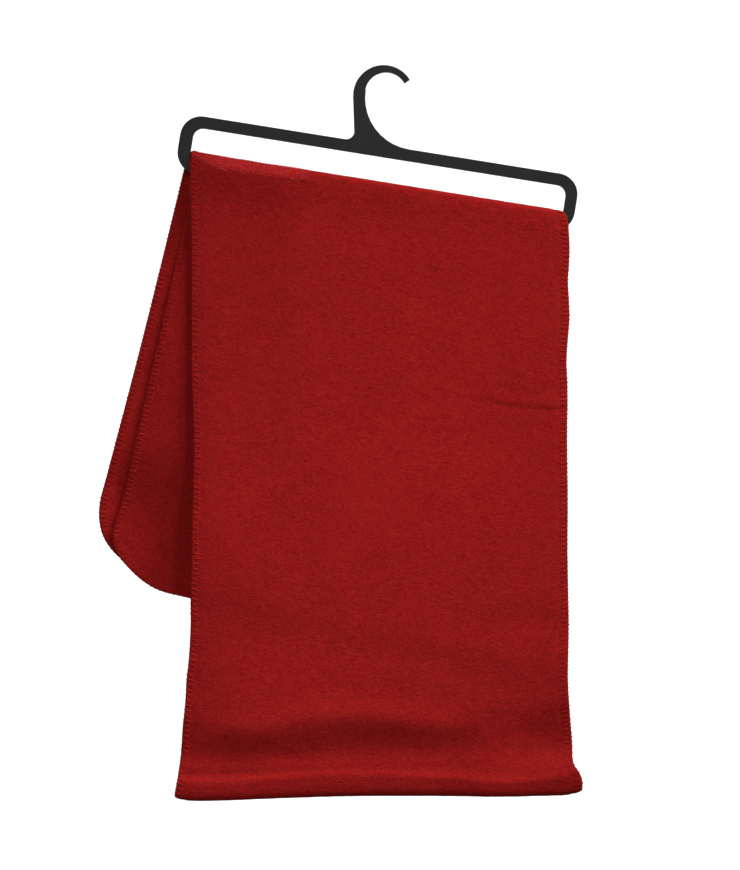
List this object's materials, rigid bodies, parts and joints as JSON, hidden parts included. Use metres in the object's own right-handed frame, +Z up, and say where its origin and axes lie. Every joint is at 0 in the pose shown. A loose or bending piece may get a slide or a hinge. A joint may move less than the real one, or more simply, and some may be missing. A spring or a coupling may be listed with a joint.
{
  "type": "fleece scarf",
  "caption": "Plain red fleece scarf, folded end to end and laid over the lower bar of a flat black moulded hanger.",
  "frame": {"origin": "highest point inside the hook, where it rests on a rail", "axes": "+Z up, +Y to the back, +X to the right as seen from the front; the hanger leans 9.1 degrees in the XZ plane, right end down"},
  "size_m": [0.3596, 0.0247, 0.5483],
  "materials": {
    "fleece": "brushed nap, matte",
    "plastic": "moulded, satin"
  },
  "bodies": {
    "root": {"front_outer_fall": "fleece", "front_inner_fall": "fleece", "bottom_fold": "fleece", "bar_wrap_outer": "fleece", "bar_wrap_inner": "fleece", "back_inner_fall": "fleece", "back_outer_fall": "fleece", "hanger": "plastic"}
  },
  "joints": []
}
